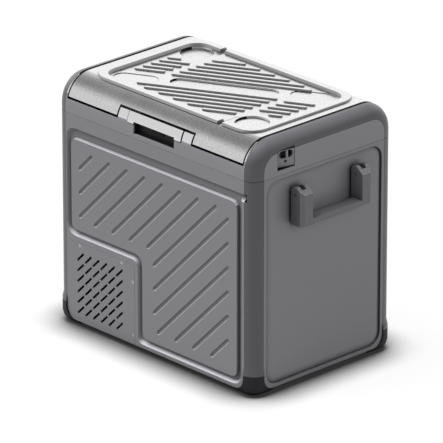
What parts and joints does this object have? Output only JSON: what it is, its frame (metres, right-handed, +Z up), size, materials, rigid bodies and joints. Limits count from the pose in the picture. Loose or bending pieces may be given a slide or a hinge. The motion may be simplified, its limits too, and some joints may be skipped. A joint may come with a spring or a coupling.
{
  "type": "compressor cooler fridge",
  "caption": "Portable compressor fridge: grey box with hinged silver lid, front latch, swing carrying handles, vent cover, dark corner posts and rubber feet.",
  "frame": {"origin": "on the floor, under the middle of the box", "axes": "+Z up, +X along the front to the right, +Y from the front to the back"},
  "size_m": [0.5472, 0.3306, 0.4545],
  "materials": {
    "panel_grey": "fine matt grain",
    "band_grey": "fine matt grain",
    "lid_silver": "silver, satin",
    "dark_plastic": "matt",
    "rubber": "matt",
    "white_plastic": "smooth",
    "foam": "foamed",
    "aluminium": "plain sheet",
    "steel": "plain",
    "black_steel": "black paint",
    "copper": "plain copper",
    "board_green": "lacquered board",
    "gloss_black": "gloss",
    "display_glass": "dark clear window"
  },
  "bodies": {
    "body": {"front_panel": "panel_grey", "vent_cover": "panel_grey", "rear_panel": "panel_grey", "left_end_panel": "panel_grey", "right_end_panel": "panel_grey", "inlet_housing": "panel_grey", "upper_rim": "band_grey", "base_tray": "dark_plastic", "corner_post_front_left": "dark_plastic", "corner_post_front_right": "dark_plastic", "corner_post_rear_left": "dark_plastic", "corner_post_rear_right": "dark_plastic", "arch_left": "dark_plastic", "arch_right": "dark_plastic", "handle_mount_left_front": "dark_plastic", "handle_mount_left_rear": "dark_plastic", "handle_mount_right_front": "dark_plastic", "handle_mount_right_rear": "dark_plastic", "body_hinge_left": "dark_plastic", "body_hinge_right": "dark_plastic", "foot_front_left": "rubber", "foot_front_right": "rubber", "foot_rear_left": "rubber", "foot_rear_right": "rubber", "finger_pocket": "rubber", "power_inlet": "rubber", "fan_frame": "rubber", "inner_tub": "white_plastic", "insulation": "foam", "evaporator_sleeve": "aluminium", "condenser": "aluminium", "vent_screw_1": "steel", "vent_screw_2": "steel", "vent_screw_3": "steel", "vent_screw_4": "steel", "latch_strike": "steel", "hinge_pin_left": "steel", "hinge_pin_right": "steel", "compressor_base": "steel", "compressor": "black_steel", "discharge_pipe": "copper", "control_board": "board_green", "control_bezel": "gloss_black", "display_window": "display_glass"},
    "lid": {"lid_shell": "lid_silver", "lid_insulation": "foam", "lid_liner": "white_plastic", "lid_gasket": "rubber", "latch_bracket": "dark_plastic", "latch_pin": "steel", "lid_hinge_left": "dark_plastic", "lid_hinge_right": "dark_plastic"},
    "latch": {"latch_paddle": "lid_silver"},
    "handle_left": {"handle_left": "dark_plastic"},
    "handle_right": {"handle_right": "dark_plastic"},
    "fan": {"fan_rotor": "dark_plastic"},
    "button_power": {"button_power": "dark_plastic"},
    "button_up": {"button_up": "dark_plastic"},
    "button_down": {"button_down": "dark_plastic"},
    "button_mode": {"button_mode": "dark_plastic"}
  },
  "joints": [
    {"name": "lid_hinge", "type": "hinge", "parent": "body", "child": "lid", "pos_m": [0, 0.16055, 0.416], "axis": [-1, 0, 0], "range_deg": [0, 95]},
    {"name": "latch_pivot", "type": "hinge", "parent": "lid", "child": "latch", "pos_m": [0, -0.15141, 0.41995], "axis": [-1, 0, 0], "range_deg": [0, 45], "stiffness_Nm_per_rad": 0.06},
    {"name": "handle_left_pivot", "type": "hinge", "parent": "body", "child": "handle_left", "pos_m": [-0.2565, 0, 0.3505], "axis": [0, 1, 0], "range_deg": [0, 90]},
    {"name": "handle_right_pivot", "type": "hinge", "parent": "body", "child": "handle_right", "pos_m": [0.2565, 0, 0.3505], "axis": [0, -1, 0], "range_deg": [0, 90]},
    {"name": "fan_spin", "type": "hinge", "parent": "body", "child": "fan", "pos_m": [-0.1537, -0.14195, 0.0838], "axis": [0, 1, 0], "continuous": true},
    {"name": "button_power_press", "type": "slide", "parent": "body", "child": "button_power", "axis": [1, 0, 0], "range_m": [0, 0.0012], "stiffness_N_per_m": 300},
    {"name": "button_up_press", "type": "slide", "parent": "body", "child": "button_up", "axis": [1, 0, 0], "range_m": [0, 0.0012], "stiffness_N_per_m": 300},
    {"name": "button_down_press", "type": "slide", "parent": "body", "child": "button_down", "axis": [1, 0, 0], "range_m": [0, 0.0012], "stiffness_N_per_m": 300},
    {"name": "button_mode_press", "type": "slide", "parent": "body", "child": "button_mode", "axis": [1, 0, 0], "range_m": [0, 0.0012], "stiffness_N_per_m": 300}
  ]
}
